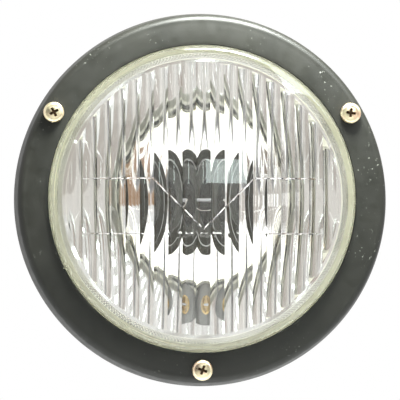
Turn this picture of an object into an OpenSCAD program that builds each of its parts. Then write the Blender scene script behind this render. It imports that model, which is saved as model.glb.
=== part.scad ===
// Recessed tractor headlamp with a three-screw aiming rim, in millimetres.
// The lamp is drawn on a bench frame: x to the right, y up, z forward out of the lens.
// on_axis() then lays it down, so that it faces -Y, with +Z up and the mounting plane at Y = 0.

/* [Rim] */
// Diameter of the rim's opening
opening_d = 148; // [140:1:156]
// Height of the rim's face in front of the mounting plane
face_height = 30; // [29:0.5:36]
// Depth of the rim from its face to its rear edge
skirt_depth = 17; // [12:0.5:18]
// Sheet thickness of the rim
rim_t = 1.2; // [0.8:0.1:1.6]
// Outside radius of the rim's rounded shoulder
shoulder_r = 3.6; // [2.4:0.1:4]
// Width of the rim outside the circle of the screws
rim_margin = 7.5; // [7.3:0.1:12]
// Width of the rim's lip over the flange of the glass
lip_cover = 3; // [2:0.1:3.6]

/* [Aim screws] */
// Radius of the circle of the screws outside the flange of the glass
screw_inset = 5.5; // [5.4:0.1:8]
// Diameter of the aim screws
screw_d = 5; // [4:0.5:5]
// Length of the aim screws under the head
screw_length = 25; // [24.6:0.1:25.6]
// Diameter of the screw heads
head_d = 10; // [8:0.5:11]
// Height of the screw heads
head_h = 3.6; // [2.5:0.1:4.5]
// Width across the cross recess
cross_w = 4.6; // [3:0.1:5.5]
// Width of one slot of the cross recess
cross_slot = 1; // [0.6:0.1:1.4]
// Depth of the cross recess
cross_depth = 2; // [1:0.1:2.4]
// Room round each screw where it passes through the rim
rim_hole_room = 1; // [0.9:0.1:1.3]
// Room round each screw inside its threaded bush, for the swing of the aim
bush_room = 0.4; // [0.35:0.05:0.6]
// Wall of the threaded bushes
bush_wall = 1.2; // [0.8:0.1:1.4]
// Height of the threaded bushes on the flange
bush_h = 9; // [8:0.5:10]
// Radius of the foot of each threaded bush
bush_foot_r = 6.2; // [4.6:0.1:6.4]
// Thickness of the foot of each threaded bush
bush_foot_t = 1.4; // [0.8:0.1:2]

/* [Aim springs] */
// Wire diameter of the aim springs
spring_wire = 1.2; // [0.8:0.1:1.4]
// Room between a spring and its screw
spring_room = 0.5; // [0.4:0.1:0.7]
// Curls of each aim spring
spring_curls = 6; // [4:1:7]
// Rise of the first and the last curl
spring_end_pitch = 1.75; // [1.7:0.05:2.2]
// Thickness of the spring cups
cup_t = 0.8; // [0.5:0.1:1.2]
// Length of the collar on each spring cup
cup_collar = 1.6; // [0:0.1:3]
// Width of each spring cup beyond its spring
cup_margin = 0.1; // [0:0.05:0.3]

/* [Glass] */
// Thickness of the flange of the glass
glass_flange_t = 5; // [3:0.5:6]
// Gap between the rim's opening and the glass
glass_gap = 0.4; // [0.3:0.1:1]
// Height of the crown of the glass in front of the rim's face
crown_rise = 15; // [12:0.5:20]
// Radius of the crown of the glass
crown_r = 240; // [200:5:300]
// Radius of the shoulder of the glass
glass_shoulder_r = 3.5; // [2:0.5:9]
// Thickness of the crown in the valleys between the flutes
glass_t = 4; // [3:0.25:5]
// Thickness of the side wall of the glass
glass_wall = 4; // [3:0.25:5]
// Width of the plain ring round the flutes
plain_ring = 4.3; // [2:0.1:8]
// Thickness of the plain ring
plain_ring_t = 4; // [3:0.25:5]
// Number of vertical flutes
flute_count = 19; // [15:2:19]
// Distance from one flute to the next
flute_pitch = 6.75; // [5:0.05:6.8]
// Radius of each flute
flute_r = 8; // [5:0.25:12]

/* [Seals] */
// Thickness of the gasket between the rim and the glass
front_gasket_t = 1; // [0.5:0.1:2]
// Thickness of the seal between the glass and the reflector
seal_t = 2; // [1:0.25:3]
// How far the seal reaches in past the wall of the glass
seal_lip = 3.6; // [0:0.2:4]
// Thickness of the gasket behind the bowl
panel_gasket_t = 1.5; // [1:0.25:3]

/* [Reflector] */
// Focal length of the reflector
focal = 28; // [26:0.5:31]
// Sheet thickness of the reflector
reflector_t = 0.8; // [0.6:0.1:1.2]
// Width of the reflector's flange
reflector_flange = 7; // [6:0.5:9]
// How far the bulb's flange laps over the neck
flange_lap = 1; // [0.5:0.1:1.3]

/* [Clips] */
// Number of clips that hold the glass and the reflector in the rim
clip_count = 6; // [3:3:6]
// Width of each clip
clip_w = 12; // [8:1:16]
// Thickness of each clip
clip_t = 1; // [0.6:0.1:1.2]
// Reach of each clip over the reflector's flange
clip_reach = 4; // [2:0.5:5]
// Length of each clip's foot on the rim
clip_foot = 5; // [3:0.5:6]
// Gap between a clip and the flanges that it holds
clip_gap = 0.8; // [0.5:0.1:1.2]

/* [Bowl] */
// Sheet thickness of the bowl
bowl_t = 1.2; // [0.8:0.1:2]
// Width of the bowl's flange outside the circle of the screws
flange_margin = 5.5; // [5:0.1:6]
// Room between the feet of the bushes and the bowl
foot_room = 2.8; // [2:0.1:4]
// Depth of the straight part of the bowl behind the mounting plane
bowl_straight = 20; // [15:1:30]
// Depth of the rounded part of the bowl
bowl_round = 52; // [48:1:70]
// Radius of the flat back of the bowl
bowl_flat_r = 26; // [24:1:30]
// Diameter of the holes for the panel screws
panel_hole_d = 5.5; // [4.5:0.5:6]
// Distance of the panel screws inside the circle of the aim screws
panel_inset = 2.5; // [1.5:0.1:2.8]

/* [Cable entry] */
// Bore of the grommet
grommet_bore_d = 7; // [5:0.5:9]
// Wall of the grommet
grommet_wall = 4; // [3:0.5:4.5]
// Depth of the grommet's groove
groove_depth = 2.5; // [1.5:0.5:3]
// Thickness of each lip of the grommet
grommet_lip_t = 2.5; // [1.5:0.5:3]

/* [Earth terminal] */
// Width of the earth terminal
tab_w = 6.3; // [4.8:0.1:9.5]
// Thickness of the earth terminal
tab_t = 0.8; // [0.5:0.1:1.2]
// Height of the earth terminal's blade
tab_h = 9; // [6:0.5:12]
// Length of the earth terminal's foot
tab_foot = 8; // [7:0.5:9]
// Distance of the earth rivet from the lamp's axis
tab_place = 18; // [17.5:0.5:19]

/* [Bulb seat] */
// Diameter of the hole in the bulb seat
seat_hole_d = 41.6; // [40:0.2:43]
// Thickness of the bulb seat
seat_t = 1.5; // [1:0.1:2]
// Depth of the seat's wall behind the seat
seat_depth = 10; // [9:0.5:14]
// Width of each of the three lugs of the seat, in degrees
lug_angle = 30; // [20:1:36]
// Reach of each lug
lug_reach = 2.4; // [1.5:0.1:3]
// Room round the heads of the seat's rivets
rivet_room = 1.2; // [0.5:0.1:2]
// Diameter of the rivets
rivet_d = 3; // [2:0.1:3.2]
// Diameter of the heads of the rivets
rivet_head_d = 5; // [3.5:0.1:5]
// Height of the heads of the rivets
rivet_head_h = 1; // [0.6:0.1:1.2]

/* [Bulb] */
// Distance from the bulb's flange to the main filament
light_centre = 29.5; // [27:0.5:31]
// Diameter of the bulb's flange
bulb_flange_d = 45; // [44:0.5:46]
// Thickness of the bulb's flange
bulb_flange_t = 1.2; // [0.8:0.1:2]
// Diameter of the globe
globe_d = 36; // [30:0.5:40]
// Thickness of the bulb's glass
globe_t = 0.9; // [0.5:0.1:1.5]
// Diameter of the globe's neck
globe_neck_d = 22.4; // [18:0.2:23]
// Wall of the cap
cap_wall = 1; // [0.5:0.1:1.5]
// Length of the cap behind the flange
cap_back = 19; // [15:0.5:22]
// Length of the cap in front of the flange
cap_front = 2.5; // [1.5:0.5:4]
// Thickness of the insulator
insulator_t = 4; // [3:0.5:6]
// Length of the bulb's terminals behind the insulator
blade_length = 9; // [7:0.5:11]
// Width of the bulb's terminals
blade_w = 8; // [6:0.2:9]
// Thickness of the bulb's terminals
blade_t = 0.8; // [0.5:0.1:1.2]
// Distance of the bulb's terminals from the axis
blade_place = 7; // [6:0.25:8]
// Diameter of the wires that hold the filaments
post_d = 1; // [0.6:0.1:1.4]
// Diameter of the filaments
filament_d = 1.5; // [0.8:0.1:2]
// Half the length between the posts of the main filament
post_spread = 4; // [3:0.25:4.5]
// Distance from the main filament to the dip filament
dip_lead = 6.5; // [5.5:0.25:8]
// Sideways reach of the long post beyond the short one
long_post_reach = 2; // [1.5:0.1:3]
// Thickness of the dip shield
shield_t = 0.6; // [0.3:0.1:1]
// Length of the dip shield
shield_length = 8; // [6:0.5:9]

/* [Bulb retainer] */
// Thickness of the retainer
retainer_t = 1.2; // [0.8:0.1:2]
// Width of each of the three ears, in degrees
ear_angle = 26; // [16:1:30]
// Diameter of the hole in the retainer
retainer_hole_d = 32; // [29:0.5:35]
// Height of the retainer's finger grips
grip_h = 5; // [3:0.5:7]
// Thickness of the finger grips
grip_t = 1.2; // [0.8:0.1:2]
// Wire diameter of the retainer's spring
retainer_wire = 0.9; // [0.6:0.1:1.1]
// Curls of the retainer's spring
retainer_curls = 2.5; // [2:0.5:2.5]

/* [Side light] */
// Distance of the side light below the lamp's axis
side_drop = 50; // [47:0.5:51]
// Diameter of the side light's collar
side_collar_d = 20.6; // [18:0.2:21]
// Wall of the side light's collar
side_collar_t = 0.8; // [0.6:0.1:1.2]
// Depth of the holder's front behind the upper edge of its hole
side_recess = 2; // [1:0.5:3]
// Length of the holder inside the collar
holder_length = 9; // [7:0.5:11]
// Diameter of the holder behind the collar
holder_back_d = 16; // [14:0.5:17]
// Length of the holder behind its flange
holder_back_length = 11; // [9:0.5:12]
// Thickness of the holder's flange
holder_flange_t = 1.2; // [0.8:0.1:2]
// Width of the holder's flange beyond the collar
holder_flange_margin = 1.6; // [1:0.1:2]
// Diameter of the side light's cap
side_cap_d = 9.2; // [8:0.1:10]
// Diameter of the side light's globe
side_globe_d = 8.8; // [7:0.1:9]
// Length of the side light's globe in front of its cap
side_globe_length = 12; // [9:0.5:14]
// Length of the side light's cap in front of the holder
side_cap_out = 2; // [1:0.5:4]
// Length of the side light's cap in all
side_cap_length = 14; // [11:0.5:15]
// Thickness of the side light's glass
side_glass_t = 0.6; // [0.4:0.1:1]

/* [Clearances] */
// Gap between pieces that move past each other
run_gap = 0.3; // [0.25:0.05:0.4]
// Gap between round pieces that are fixed to each other
fit_gap = 0.05; // [0.03:0.01:0.1]
// Sliding gap round the side light's holder
slide_gap = 0.1; // [0.05:0.01:0.1]

/* [Hidden] */
$fn = 96;

// How far a cutting shape passes a face
over = 1;
// Rings along one curl of a spring, and sides of its wire
curl_rings = 8;
wire_sides = 6;

// Angles of the screws on their circle, seen from the front
right_angle = 30;
left_angle = 150;
bottom_angle = 270;
aim_angles = [right_angle, left_angle, bottom_angle];
panel_angles = [90, 210, 330];
third_turn = 120;

// Circles that the rim, the screws and the bowl share
opening_r = opening_d / 2;
stack_r = opening_r + lip_cover;
screw_circle_r = stack_r + screw_inset;
rim_r = screw_circle_r + rim_margin;
bowl_r = screw_circle_r - bush_foot_r - foot_room;
flange_r = screw_circle_r + flange_margin;
panel_circle_r = screw_circle_r - panel_inset;

// Places along the lamp's axis, from the rim back to the reflector
rim_back = face_height - rim_t;
glass_front = rim_back - front_gasket_t;
glass_seat = glass_front - glass_flange_t;
reflector_front = glass_seat - seal_t;
reflector_back = reflector_front - reflector_t;
flange_front = panel_gasket_t + bowl_t;

// Aim screws
screw_r = screw_d / 2;
head_seat = face_height + run_gap;
bush_r = screw_r + bush_room + bush_wall;
bush_top = flange_front + bush_h;
spring_r = screw_r + spring_room + spring_wire / 2;
spring_outer_r = spring_r + spring_wire / 2;
cup_r = spring_outer_r + cup_margin;
cup_bore_r = screw_r + run_gap;
upper_cup_front = rim_back - run_gap;

// Glass
crown_top = face_height + crown_rise;
crown_centre = crown_top - crown_r;
glass_r = opening_r - glass_gap;
glass_shoulder_place = glass_r - glass_shoulder_r;
glass_shoulder_z = crown_centre + sqrt(pow(crown_r - glass_shoulder_r, 2) - pow(glass_shoulder_place, 2));
crown_lean = asin(glass_shoulder_place / (crown_r - glass_shoulder_r));
cavity_r = glass_r - glass_wall;
flute_field_r = cavity_r - plain_ring;
flute_sphere_r = crown_r - glass_t;
ring_roof = glass_shoulder_z + sqrt(pow(glass_shoulder_r, 2) - pow(max(0, cavity_r - glass_shoulder_place), 2));
cavity_top = ring_roof - plain_ring_t;
flute_steps = 5;
crown_facets = 480;

// Reflector
mouth_r = stack_r - reflector_flange;
vertex = reflector_front - pow(mouth_r, 2) / (4 * focal);
focus = vertex + focal;
parabola_steps = 16;
function bowl_of(r) = vertex + pow(r, 2) / (4 * focal);

// Bulb
bulb_ref = focus - light_centre;
seat_front = bulb_ref + seat_t;
neck_r = bulb_flange_d / 2 - flange_lap;
rivet_circle_r = neck_r + reflector_t + rivet_room + rivet_head_d / 2;
seat_r = rivet_circle_r + rivet_head_d / 2 + rivet_room + seat_t;
seat_wall_r = seat_r - seat_t;
neck_flange_r = seat_r - seat_t;
cap_inner_r = globe_neck_d / 2 + run_gap;
cap_r = cap_inner_r + cap_wall;
cap_rear = bulb_ref - bulb_flange_t - cap_back;
insulator_rear = cap_rear - insulator_t / 2;
stem_r = globe_neck_d / 2 - globe_t - fit_gap;
stem_foot = bulb_ref - bulb_flange_t;
stem_foot_t = 3;
pinch_w = 16;
pinch_depth = 5;
pinch_h = 9;
pinch_top = stem_foot + stem_foot_t + pinch_h;
long_post = post_spread + long_post_reach;
shield_middle = long_post_reach / 2;
shield_r = post_spread + long_post_reach / 2 + post_d / 2 - fit_gap;

// Retainer
lug_front = bulb_ref - seat_depth + seat_t;
retainer_back = lug_front + run_gap;
retainer_front = retainer_back + retainer_t;
retainer_r = seat_wall_r - lug_reach - run_gap;
ear_r = seat_wall_r - 2 * run_gap;
retainer_spring_gap = 0.1;
grip_place = retainer_r - 2 * grip_t;
grip_w = 10;

// Side light
side_collar_r = side_collar_d / 2;
side_edge_z = bowl_of(side_drop - side_collar_r);
holder_front = side_edge_z - side_recess;
collar_rear = holder_front - holder_length;
holder_flange_front = collar_rear - run_gap;
holder_flange_back = holder_flange_front - holder_flange_t;
holder_rear = holder_flange_back - holder_back_length;
side_cap_front = holder_front + side_cap_out;
side_cap_rear = side_cap_front - side_cap_length;
side_cap_wall = 0.5;
side_insulator_t = 2;
contact_t = 0.8;
contact_w = 6.3;
contact_out = 7;

// Bowl
bowl_steps = 12;
bowl_flat_angle = acos(bowl_flat_r / bowl_r);
bowl_floor = -bowl_straight - bowl_round * sin(bowl_flat_angle);
bowl_outer_flat_angle = acos(bowl_flat_r / (bowl_r + bowl_t));
bowl_back = -bowl_straight - (bowl_round + bowl_t) * sin(bowl_outer_flat_angle);
grommet_neck_r = grommet_bore_d / 2 + grommet_wall;
grommet_lip_r = grommet_neck_r + groove_depth;

// Lays the bench frame down into the part's own frame
module on_axis() {
    rotate([90, 0, 0]) children();
}

// Places a child on the circle of the screws
module at_screw(angle) {
    rotate([0, 0, angle]) translate([screw_circle_r, 0, 0]) children();
}

module tube(inner_r, outer_r, low, high) {
    translate([0, 0, low]) difference() {
        cylinder(r = outer_r, h = high - low);
        translate([0, 0, -over]) cylinder(r = inner_r, h = high - low + 2 * over);
    }
}

module rod(r, low, high) {
    translate([0, 0, low]) cylinder(r = r, h = high - low);
}

// A ring's share between two angles, for lugs and ears
module ring_share(inner_r, outer_r, low, high, width, middle) {
    translate([0, 0, low]) rotate_extrude(angle = width, start = middle - width / 2)
        translate([inner_r, 0]) square([outer_r - inner_r, high - low]);
}

// A spring as one unbroken wire with closer end curls
function coil_climb(t, curls, length, end_pitch) =
    t < 1 ? t * end_pitch :
    t > curls - 1 ? length - (curls - t) * end_pitch :
    end_pitch + (t - 1) * (length - 2 * end_pitch) / (curls - 2);

function coil_line(r1, r2, low, high, curls, end_pitch) = [
    for (i = [0 : curls * curl_rings])
        let (t = i / curl_rings, r = r1 + (r2 - r1) * t / curls)
        [r * cos(360 * t), r * sin(360 * t), low + coil_climb(t, curls, high - low, end_pitch)]
];

function unit(v) = v / norm(v);

function coil_skin(line, wire_r) = [
    for (i = [0 : len(line) - 1])
        let (
            along = unit(line[min(i + 1, len(line) - 1)] - line[max(i - 1, 0)]),
            outward = unit([line[i][0], line[i][1], 0]),
            side = unit(outward - along * (outward * along)),
            up = cross(side, along)
        )
        for (k = [0 : wire_sides - 1])
            line[i] + wire_r * (cos(360 * k / wire_sides) * side + sin(360 * k / wire_sides) * up)
];

function coil_faces(rings) = concat(
    [[for (k = [0 : wire_sides - 1]) k]],
    [for (i = [0 : rings - 2], k = [0 : wire_sides - 1], half = [0, 1])
        let (
            a = i * wire_sides + k,
            b = i * wire_sides + (k + 1) % wire_sides,
            c = a + wire_sides,
            d = b + wire_sides
        )
        half == 0 ? [a, c, b] : [b, c, d]],
    [[for (k = [0 : wire_sides - 1]) rings * wire_sides - 1 - k]]
);

// The least gap between one curl's wire and the next, measured on the wire's middle line
function coil_gap(line, wire) = min([
    for (i = [0 : len(line) - 1])
        for (j = [i + curl_rings / 2 : 1 : len(line) - 1]) norm(line[i] - line[j])
]) - wire;

module coil(line, wire) {
    points = coil_skin(line, wire / 2);
    polyhedron(points = points, faces = coil_faces(len(line)));
}

module panel_holes() {
    for (a = panel_angles) rotate([0, 0, a]) translate([panel_circle_r, 0, 0])
        rod(panel_hole_d / 2, -over, flange_front + over);
}

// The bowl and what is fixed to it
module bowl() {
    function arc(r, depth, last) = [
        for (i = [0 : bowl_steps])
            let (a = last * i / bowl_steps) [r * cos(a), -bowl_straight - depth * sin(a)]
    ];
    outside = arc(bowl_r + bowl_t, bowl_round + bowl_t, bowl_outer_flat_angle);
    inside = arc(bowl_r, bowl_round, bowl_flat_angle);
    profile = concat(
        [[flange_r, flange_front], [flange_r, panel_gasket_t], [bowl_r + bowl_t, panel_gasket_t]],
        outside,
        [[grommet_neck_r + fit_gap, bowl_back], [grommet_neck_r + fit_gap, bowl_floor]],
        [for (i = [bowl_steps : -1 : 0]) inside[i]],
        [[bowl_r, flange_front]]
    );
    color("dimgray") on_axis() difference() {
        rotate_extrude() polygon(profile);
        panel_holes();
        for (a = aim_angles) at_screw(a)
            rod(bush_r + fit_gap, panel_gasket_t - over, flange_front + over);
        rotate([0, 0, 90]) translate([tab_place, 0, 0])
            rod(rivet_d / 2 + fit_gap, bowl_back - over, bowl_floor + over);
    }
}

module panel_gasket() {
    color("black") on_axis() difference() {
        tube(bowl_r + bowl_t + run_gap, flange_r - over, 0, panel_gasket_t);
        panel_holes();
        for (a = aim_angles) at_screw(a)
            rod(bush_r, -over, panel_gasket_t + over);
    }
}

module aim_bush() {
    difference() {
        union() {
            rod(bush_r, panel_gasket_t, bush_top);
            rod(bush_foot_r, flange_front, flange_front + bush_foot_t);
        }
        rod(screw_r + bush_room, panel_gasket_t - over, bush_top + over);
    }
}

module aim_bushes() {
    color("goldenrod") on_axis() for (a = aim_angles) at_screw(a) aim_bush();
}

module cable_grommet() {
    color("black") on_axis() difference() {
        union() {
            rod(grommet_neck_r, bowl_back, bowl_floor);
            rod(grommet_lip_r, bowl_floor, bowl_floor + grommet_lip_t);
            rod(grommet_lip_r, bowl_back - grommet_lip_t, bowl_back);
        }
        rod(grommet_bore_d / 2, bowl_back - grommet_lip_t - over, bowl_floor + grommet_lip_t + over);
    }
}

module earth_terminal() {
    color("gold") on_axis() rotate([0, 0, 90]) difference() {
        union() {
            translate([tab_place - tab_foot / 2, -tab_w / 2, bowl_floor]) cube([tab_foot, tab_w, tab_t]);
            translate([tab_place + tab_foot / 2 - tab_t, -tab_w / 2, bowl_floor]) cube([tab_t, tab_w, tab_h]);
        }
        translate([tab_place, 0, 0]) rod(rivet_d / 2 + fit_gap, bowl_floor - over, bowl_floor + tab_t + over);
    }
}

module rivet(low, high) {
    rod(rivet_d / 2, low, high);
    rod(rivet_head_d / 2, low - rivet_head_h, low);
    rod(rivet_head_d / 2, high, high + rivet_head_h);
}

module earth_rivet() {
    color("silver") on_axis() rotate([0, 0, 90]) translate([tab_place, 0, 0])
        rivet(bowl_back, bowl_floor + tab_t);
}

// Aim springs, each standing on its bush under its cup
spring_line = coil_line(
    spring_r, spring_r,
    bush_top + fit_gap + spring_wire / 2,
    upper_cup_front - cup_t - fit_gap - spring_wire / 2,
    spring_curls, spring_end_pitch
);
echo(least_gap_aim_spring = coil_gap(spring_line, spring_wire));

module aim_spring(angle) {
    color("silver") on_axis() at_screw(angle) coil(spring_line, spring_wire);
}

module spring_cup(front) {
    tube(cup_bore_r, cup_r, front - cup_t, front);
}

module upper_spring_cups() {
    color("goldenrod") on_axis() for (a = [left_angle, right_angle]) at_screw(a) spring_cup(upper_cup_front);
}

module lower_spring_cup() {
    color("goldenrod") on_axis() at_screw(bottom_angle) spring_cup(rim_back);
}

module aim_screw(angle) {
    dome_r = (pow(head_d / 2, 2) + pow(head_h, 2)) / (2 * head_h);
    color("gold") on_axis() at_screw(angle) difference() {
        union() {
            rod(screw_r, head_seat - screw_length, head_seat);
            intersection() {
                rod(head_d / 2, head_seat, head_seat + head_h);
                translate([0, 0, head_seat + head_h - dome_r]) sphere(r = dome_r);
            }
        }
        for (a = [0, 90]) rotate([0, 0, a])
            translate([-cross_w / 2, -cross_slot / 2, head_seat + head_h - cross_depth])
                cube([cross_w, cross_slot, cross_depth + over]);
    }
}

// The rim and the pieces that it holds
module rim() {
    steps = 6;
    place = rim_r - shoulder_r;
    level = face_height - shoulder_r;
    rear = face_height - skirt_depth;
    function shoulder(r) = [
        for (i = [0 : steps])
            let (a = 90 * i / steps) [place + r * sin(a), level + r * cos(a)]
    ];
    outside = shoulder(shoulder_r);
    inside = shoulder(shoulder_r - rim_t);
    profile = concat(
        [[opening_r, rim_back], [opening_r, face_height]],
        outside,
        [[rim_r, rear], [rim_r - rim_t, rear]],
        [for (i = [steps : -1 : 0]) inside[i]]
    );
    color([0.22, 0.23, 0.22]) on_axis() difference() {
        rotate_extrude() polygon(profile);
        for (a = aim_angles) at_screw(a)
            rod(screw_r + rim_hole_room, rim_back - over, face_height + over);
    }
}

module front_gasket() {
    color("black") on_axis() tube(opening_r + fit_gap, stack_r, glass_front, rim_back);
}

// One round solid whose surface turns about the x axis, so that its flutes run upright
module fluted_core() {
    half_pitch = flute_pitch / 2;
    valley = sqrt(pow(flute_r, 2) - pow(half_pitch, 2));
    field = flute_count * half_pitch;
    edge = flute_field_r + over;
    function crest(t) = sqrt(pow(flute_r, 2) - pow(t, 2)) - valley;
    function sphere_at(x) = sqrt(pow(flute_sphere_r, 2) - pow(x, 2));
    flutes = [
        for (i = [0 : flute_count - 1], k = [0 : flute_steps - 1])
            let (t = half_pitch * (2 * k / flute_steps - 1), x = -field + half_pitch * (2 * i + 1) + t)
            [sphere_at(x) - crest(t), x]
    ];
    inner = cavity_top - crown_centre - 2 * over;
    profile = concat(
        [[inner, -edge], [sphere_at(edge), -edge]],
        flutes,
        [[sphere_at(field), field], [sphere_at(edge), edge], [inner, edge]]
    );
    swing = 2 * asin(edge / inner) + over;
    translate([0, 0, crown_centre]) rotate([0, 90, 0])
        rotate_extrude(angle = swing, start = 180 - swing / 2, $fn = crown_facets) polygon(profile);
}

module lens() {
    shoulder_steps = 8;
    crown_steps = 10;
    function crown_point(a) = [crown_r * sin(a), crown_centre + crown_r * cos(a)];
    function shoulder_point(a) = [
        glass_shoulder_place + glass_shoulder_r * cos(a),
        glass_shoulder_z + glass_shoulder_r * sin(a)
    ];
    profile = concat(
        [[0, glass_seat], [glass_r, glass_seat]],
        [for (i = [0 : shoulder_steps]) shoulder_point((90 - crown_lean) * i / shoulder_steps)],
        [for (i = [crown_steps - 1 : -1 : 0]) crown_point(crown_lean * i / crown_steps)]
    );
    color("white", 0.4) on_axis() difference() {
        union() {
            rotate_extrude() polygon(profile);
            rod(stack_r, glass_seat, glass_front);
        }
        rod(cavity_r, glass_seat - over, cavity_top);
        intersection() {
            rod(flute_field_r, cavity_top - over, crown_top);
            fluted_core();
        }
    }
}

module reflector_seal() {
    color("ivory") on_axis() tube(cavity_r - seal_lip, stack_r, reflector_front, glass_seat);
}

module reflector() {
    function slope(r) = atan(r / (2 * focal));
    face = [
        for (i = [0 : parabola_steps])
            let (r = neck_r + (mouth_r - neck_r) * i / parabola_steps) [r, bowl_of(r)]
    ];
    back = [
        for (i = [1 : parabola_steps])
            let (r = neck_r + (mouth_r - neck_r) * i / parabola_steps)
            [r + reflector_t * sin(slope(r)), bowl_of(r) - reflector_t * cos(slope(r))]
    ];
    skin = concat(
        [[stack_r, reflector_front]],
        [for (i = [parabola_steps : -1 : 0]) face[i]],
        [[neck_r, seat_front], [neck_flange_r, seat_front], [neck_flange_r, seat_front + reflector_t]],
        [[neck_r + reflector_t, seat_front + reflector_t]],
        [[neck_r + reflector_t, bowl_of(neck_r) - reflector_t / 2]],
        [for (i = [0 : parabola_steps - 2]) back[i]],
        [[mouth_r + reflector_t, reflector_back], [stack_r, reflector_back]]
    );
    trim = concat(
        [[0, collar_rear - over], [neck_r, collar_rear - over]],
        [for (i = [0 : parabola_steps]) face[i] - [0, reflector_t / 2]],
        [[mouth_r, glass_seat], [0, glass_seat]]
    );
    color("silver") on_axis() difference() {
        union() {
            rotate_extrude() polygon(skin);
            difference() {
                translate([0, -side_drop, 0])
                    rod(side_collar_r + side_collar_t, collar_rear, bowl_of(side_drop + side_collar_r));
                rotate_extrude() polygon(trim);
            }
        }
        translate([0, -side_drop, 0]) rod(side_collar_r, collar_rear - over, glass_seat);
        for (i = [0 : 2]) rotate([0, 0, right_angle + i * third_turn]) translate([rivet_circle_r, 0, 0])
            rod(rivet_d / 2 + fit_gap, seat_front - over, seat_front + reflector_t + over);
    }
}

module unit_clips() {
    inner = stack_r - clip_reach;
    leg = stack_r + clip_gap;
    profile = [
        [inner, reflector_back - clip_t], [leg + clip_t, reflector_back - clip_t],
        [leg + clip_t, rim_back - clip_t], [leg + clip_foot, rim_back - clip_t],
        [leg + clip_foot, rim_back], [leg, rim_back],
        [leg, reflector_back], [inner, reflector_back]
    ];
    color("silver") on_axis() for (i = [0 : clip_count - 1]) rotate([0, 0, i * 360 / clip_count])
        translate([0, clip_w / 2, 0]) rotate([90, 0, 0]) linear_extrude(height = clip_w) polygon(profile);
}

// The bulb's seat and its retainer
module bulb_seat() {
    wall_rear = bulb_ref - seat_depth;
    color("silver") on_axis() union() {
        difference() {
            tube(seat_hole_d / 2, seat_r, bulb_ref, seat_front);
            for (i = [0 : 2]) rotate([0, 0, right_angle + i * third_turn]) translate([rivet_circle_r, 0, 0])
                rod(rivet_d / 2 + fit_gap, bulb_ref - over, seat_front + over);
        }
        tube(seat_wall_r, seat_r, wall_rear, bulb_ref);
        for (i = [0 : 2])
            ring_share(seat_wall_r - lug_reach, seat_wall_r + seat_t / 2, wall_rear, lug_front, lug_angle,
                90 + i * third_turn);
    }
}

module seat_rivets() {
    color("silver") on_axis() for (i = [0 : 2]) rotate([0, 0, right_angle + i * third_turn])
        translate([rivet_circle_r, 0, 0]) rivet(bulb_ref, seat_front + reflector_t);
}

retainer_line = coil_line(
    cap_r + 2 * retainer_wire, bulb_flange_d / 2 - 2 * retainer_wire,
    retainer_front + retainer_spring_gap + retainer_wire / 2,
    bulb_ref - bulb_flange_t - retainer_spring_gap - retainer_wire / 2,
    retainer_curls, (lug_reach + retainer_wire) / 2
);
echo(least_gap_retainer_spring = coil_gap(retainer_line, retainer_wire));

module retainer_spring() {
    color("silver") on_axis() coil(retainer_line, retainer_wire);
}

module bulb_retainer() {
    color("silver") on_axis() union() {
        tube(retainer_hole_d / 2, retainer_r, retainer_back, retainer_front);
        for (i = [0 : 2])
            ring_share(retainer_r - over, ear_r, retainer_back, retainer_front, ear_angle, 90 + i * third_turn);
        for (side = [-1, 1])
            translate([side * grip_place - grip_t / 2, -grip_w / 2, retainer_back - grip_h])
                cube([grip_t, grip_w, grip_h + retainer_t]);
    }
}

// The main bulb
module bulb_flange() {
    color("gold") on_axis() tube(cap_r + fit_gap, bulb_flange_d / 2, bulb_ref - bulb_flange_t, bulb_ref);
}

module bulb_cap() {
    color("gold") on_axis() tube(cap_inner_r, cap_r, cap_rear, bulb_ref + cap_front);
}

module bulb_insulator() {
    color("black") on_axis() rod(cap_inner_r - fit_gap, insulator_rear, insulator_rear + insulator_t);
}

module bulb_terminals() {
    color("silver") on_axis() union() {
        for (side = [-1, 1])
            translate([side * blade_place - blade_t / 2, -blade_w / 2, insulator_rear - blade_length])
                cube([blade_t, blade_w, blade_length]);
        translate([-blade_w / 2, blade_place - blade_t / 2, insulator_rear - blade_length])
            cube([blade_w, blade_t, blade_length]);
    }
}

module bulb_globe() {
    neck = globe_neck_d / 2;
    color("white", 0.4) on_axis() difference() {
        union() {
            translate([0, 0, focus]) sphere(r = globe_d / 2);
            rod(neck, stem_foot, focus);
        }
        union() {
            translate([0, 0, focus]) sphere(r = globe_d / 2 - globe_t);
            rod(neck - globe_t, stem_foot - over, focus);
        }
    }
}

module glass_stem() {
    color("white", 0.6) on_axis() union() {
        rod(stem_r, stem_foot, stem_foot + stem_foot_t);
        translate([-pinch_w / 2, -pinch_depth / 2, stem_foot + stem_foot_t - over])
            cube([pinch_w, pinch_depth, pinch_h + over]);
    }
}

module filament_posts() {
    reach = post_d / 2 + filament_d / 2;
    color("silver") on_axis() union() {
        translate([-post_spread, 0, 0]) rod(post_d / 2, pinch_top, focus + dip_lead + reach);
        translate([post_spread, 0, 0]) rod(post_d / 2, pinch_top, focus + reach);
        translate([long_post, 0, 0]) rod(post_d / 2, pinch_top, focus + dip_lead + reach);
    }
}

module filament(left, right, level) {
    color("silver") on_axis() translate([left + post_d / 2 + fit_gap, 0, level]) rotate([0, 90, 0])
        cylinder(r = filament_d / 2, h = right - left - post_d - 2 * fit_gap);
}

module dip_shield() {
    low = focus + dip_lead - shield_length / 2;
    color("silver") on_axis() translate([shield_middle, 0, 0]) difference() {
        tube(shield_r - shield_t, shield_r, low, low + shield_length);
        translate([-shield_r - over, -post_d / 2 - fit_gap, low - over])
            cube([2 * (shield_r + over), 2 * shield_r, shield_length + 2 * over]);
    }
}

// The side light
module side_axis() {
    on_axis() translate([0, -side_drop, 0]) children();
}

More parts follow.
